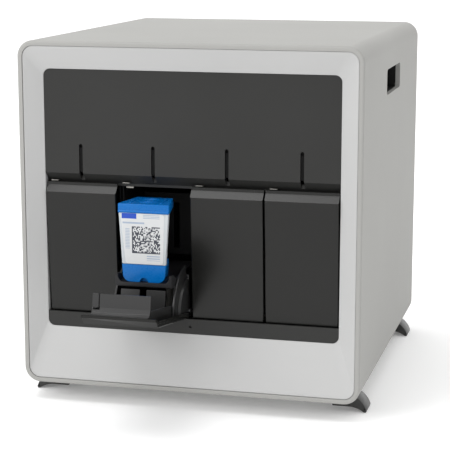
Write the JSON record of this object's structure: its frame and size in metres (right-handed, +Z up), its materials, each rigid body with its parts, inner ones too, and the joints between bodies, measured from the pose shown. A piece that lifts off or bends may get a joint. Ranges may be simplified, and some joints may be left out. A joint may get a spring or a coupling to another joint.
{
  "type": "molecular diagnostic analyzer",
  "caption": "Benchtop cartridge analyzer: boxy light grey case on claw feet, dark sloped window frame, bay doors side by side, one door folded down with a cartridge on its carriage.",
  "frame": {"origin": "on the bench below the middle of the outline made by the case and the open door", "axes": "+X to the right seen from the front, +Y to the back, +Z up; the doors face -Y"},
  "size_m": [0.2826, 0.3944, 0.2965],
  "materials": {
    "case_coat": "satin, fine texture, warm light grey",
    "bezel_plastic": "fine moulded texture, warm light grey",
    "fascia_plastic": "satin, charcoal",
    "door_plastic": "satin, charcoal",
    "liner_plastic": "satin, dark grey",
    "smoked_plastic": "polished, smoked",
    "carriage_plastic": "satin, dark grey",
    "chassis_steel": "satin black sheet steel",
    "plain_steel": "ground or drawn steel",
    "spring_steel": "bright strip",
    "heater_aluminium": "bead blasted",
    "motor_black": "satin black",
    "board_laminate": "green solder mask",
    "fan_plastic": "moulded black",
    "guard_wire": "bright plated wire",
    "foot_plastic": "moulded dark grey",
    "cup_plastic": "moulded dark grey",
    "socket_black": "moulded black",
    "zinc_plate": "zinc plated",
    "cartridge_clear": "translucent, moulded",
    "cartridge_blue": "polished, mid blue",
    "plunger_plastic": "natural white"
  },
  "bodies": {
    "housing": {"case_shell": "case_coat", "front_bezel": "bezel_plastic", "upper_fascia": "fascia_plastic", "light_pipes": "smoked_plastic", "lower_sill": "fascia_plastic", "handle_cups": "cup_plastic", "base_plate": "zinc_plate", "rear_panel": "case_coat", "fan_frame": "fan_plastic", "fan_guard": "guard_wire", "power_entry": "socket_black", "data_port": "zinc_plate", "power_supply": "zinc_plate", "main_board": "board_laminate", "hinge_pins": "plain_steel", "guide_rails": "plain_steel", "heater_blocks": "heater_aluminium", "syringe_motors": "motor_black", "valve_motors": "motor_black", "sonic_horns": "plain_steel", "module_boards": "board_laminate", "latch_hooks": "spring_steel", "foot_front_left": "foot_plastic", "foot_front_right": "foot_plastic", "foot_rear_left": "foot_plastic", "foot_rear_right": "foot_plastic", "module_chassis_1": "chassis_steel", "module_chassis_2": "chassis_steel", "module_chassis_3": "chassis_steel", "module_chassis_4": "chassis_steel"},
    "door_1": {"door_panel_1": "door_plastic", "door_frame_1": "liner_plastic"},
    "carriage_1": {"carriage_1": "carriage_plastic"},
    "lead_screw_1": {"lead_screw_1": "plain_steel"},
    "plunger_1": {"plunger_1": "plunger_plastic"},
    "valve_spindle_1": {"valve_spindle_1": "plunger_plastic"},
    "door_2": {"door_panel_2": "door_plastic", "door_frame_2": "liner_plastic"},
    "carriage_2": {"carriage_2": "carriage_plastic"},
    "lead_screw_2": {"lead_screw_2": "plain_steel"},
    "plunger_2": {"plunger_2": "plunger_plastic"},
    "valve_spindle_2": {"valve_spindle_2": "plunger_plastic"},
    "door_3": {"door_panel_3": "door_plastic", "door_frame_3": "liner_plastic"},
    "carriage_3": {"carriage_3": "carriage_plastic"},
    "lead_screw_3": {"lead_screw_3": "plain_steel"},
    "plunger_3": {"plunger_3": "plunger_plastic"},
    "valve_spindle_3": {"valve_spindle_3": "plunger_plastic"},
    "door_4": {"door_panel_4": "door_plastic", "door_frame_4": "liner_plastic"},
    "carriage_4": {"carriage_4": "carriage_plastic"},
    "lead_screw_4": {"lead_screw_4": "plain_steel"},
    "plunger_4": {"plunger_4": "plunger_plastic"},
    "valve_spindle_4": {"valve_spindle_4": "plunger_plastic"},
    "fan": {"fan_rotor": "fan_plastic"},
    "rocker": {"rocker_switch": "socket_black"},
    "cartridge": {"cartridge_body": "cartridge_clear", "cartridge_lid": "cartridge_blue", "cartridge_base": "cartridge_blue"}
  },
  "joints": [
    {"name": "door_1_hinge", "type": "hinge", "parent": "housing", "child": "door_1", "pos_m": [-0.09075, -0.09538, 0.079], "axis": [1, 0, 0], "range_deg": [0, 77.6]},
    {"name": "carriage_1_slide", "type": "slide", "parent": "housing", "child": "carriage_1", "axis": [0, -1, 0], "range_m": [0, 0.0551]},
    {"name": "lead_screw_1_turn", "type": "hinge", "parent": "housing", "child": "lead_screw_1", "pos_m": [-0.09075, -0.04179, 0.205], "axis": [0, 0, 1], "range_deg": [0, 3601]},
    {"name": "plunger_1_slide", "type": "slide", "parent": "housing", "child": "plunger_1", "axis": [0, 0, -1], "range_m": [0, 0.04]},
    {"name": "valve_spindle_1_turn", "type": "hinge", "parent": "housing", "child": "valve_spindle_1", "pos_m": [-0.09075, -0.05978, 0.075], "axis": [0, 0, 1], "continuous": true},
    {"name": "door_2_hinge", "type": "hinge", "parent": "housing", "child": "door_2", "pos_m": [-0.03025, -0.09538, 0.079], "axis": [1, 0, 0], "range_deg": [-77.6, 0]},
    {"name": "carriage_2_slide", "type": "slide", "parent": "housing", "child": "carriage_2", "axis": [0, -1, 0], "range_m": [-0.0551, 0]},
    {"name": "lead_screw_2_turn", "type": "hinge", "parent": "housing", "child": "lead_screw_2", "pos_m": [-0.03025, -0.04179, 0.205], "axis": [0, 0, 1], "range_deg": [0, 3601]},
    {"name": "plunger_2_slide", "type": "slide", "parent": "housing", "child": "plunger_2", "axis": [0, 0, -1], "range_m": [0, 0.04]},
    {"name": "valve_spindle_2_turn", "type": "hinge", "parent": "housing", "child": "valve_spindle_2", "pos_m": [-0.03025, -0.05978, 0.075], "axis": [0, 0, 1], "continuous": true},
    {"name": "door_3_hinge", "type": "hinge", "parent": "housing", "child": "door_3", "pos_m": [0.03025, -0.09538, 0.079], "axis": [1, 0, 0], "range_deg": [0, 77.6]},
    {"name": "carriage_3_slide", "type": "slide", "parent": "housing", "child": "carriage_3", "axis": [0, -1, 0], "range_m": [0, 0.0551]},
    {"name": "lead_screw_3_turn", "type": "hinge", "parent": "housing", "child": "lead_screw_3", "pos_m": [0.03025, -0.04179, 0.205], "axis": [0, 0, 1], "range_deg": [0, 3601]},
    {"name": "plunger_3_slide", "type": "slide", "parent": "housing", "child": "plunger_3", "axis": [0, 0, -1], "range_m": [0, 0.04]},
    {"name": "valve_spindle_3_turn", "type": "hinge", "parent": "housing", "child": "valve_spindle_3", "pos_m": [0.03025, -0.05978, 0.075], "axis": [0, 0, 1], "continuous": true},
    {"name": "door_4_hinge", "type": "hinge", "parent": "housing", "child": "door_4", "pos_m": [0.09075, -0.09538, 0.079], "axis": [1, 0, 0], "range_deg": [0, 77.6]},
    {"name": "carriage_4_slide", "type": "slide", "parent": "housing", "child": "carriage_4", "axis": [0, -1, 0], "range_m": [0, 0.0551]},
    {"name": "lead_screw_4_turn", "type": "hinge", "parent": "housing", "child": "lead_screw_4", "pos_m": [0.09075, -0.04179, 0.205], "axis": [0, 0, 1], "range_deg": [0, 3601]},
    {"name": "plunger_4_slide", "type": "slide", "parent": "housing", "child": "plunger_4", "axis": [0, 0, -1], "range_m": [0, 0.04]},
    {"name": "valve_spindle_4_turn", "type": "hinge", "parent": "housing", "child": "valve_spindle_4", "pos_m": [0.09075, -0.05978, 0.075], "axis": [0, 0, 1], "continuous": true},
    {"name": "fan_spin", "type": "hinge", "parent": "housing", "child": "fan", "pos_m": [0, 0.17711, 0.195], "axis": [0, 1, 0], "continuous": true},
    {"name": "rocker_tilt", "type": "hinge", "parent": "housing", "child": "rocker", "pos_m": [0.084, 0.19021, 0.089], "axis": [0, 0, 1], "range_deg": [-18, 0]},
    {"name": "cartridge_pull", "type": "slide", "parent": "carriage_2", "child": "cartridge", "axis": [0, -1, 0], "range_m": [0, 0.045]}
  ],
  "couplings": [
    {"joint": "carriage_1_slide", "follows": "door_1_hinge", "m_per_rad": 0.040609},
    {"joint": "lead_screw_1_turn", "follows": "plunger_1_slide", "rad_per_m": 1570.8},
    {"joint": "carriage_2_slide", "follows": "door_2_hinge", "m_per_rad": 0.040609},
    {"joint": "lead_screw_2_turn", "follows": "plunger_2_slide", "rad_per_m": 1570.8},
    {"joint": "carriage_3_slide", "follows": "door_3_hinge", "m_per_rad": 0.040609},
    {"joint": "lead_screw_3_turn", "follows": "plunger_3_slide", "rad_per_m": 1570.8},
    {"joint": "carriage_4_slide", "follows": "door_4_hinge", "m_per_rad": 0.040609},
    {"joint": "lead_screw_4_turn", "follows": "plunger_4_slide", "rad_per_m": 1570.8}
  ]
}
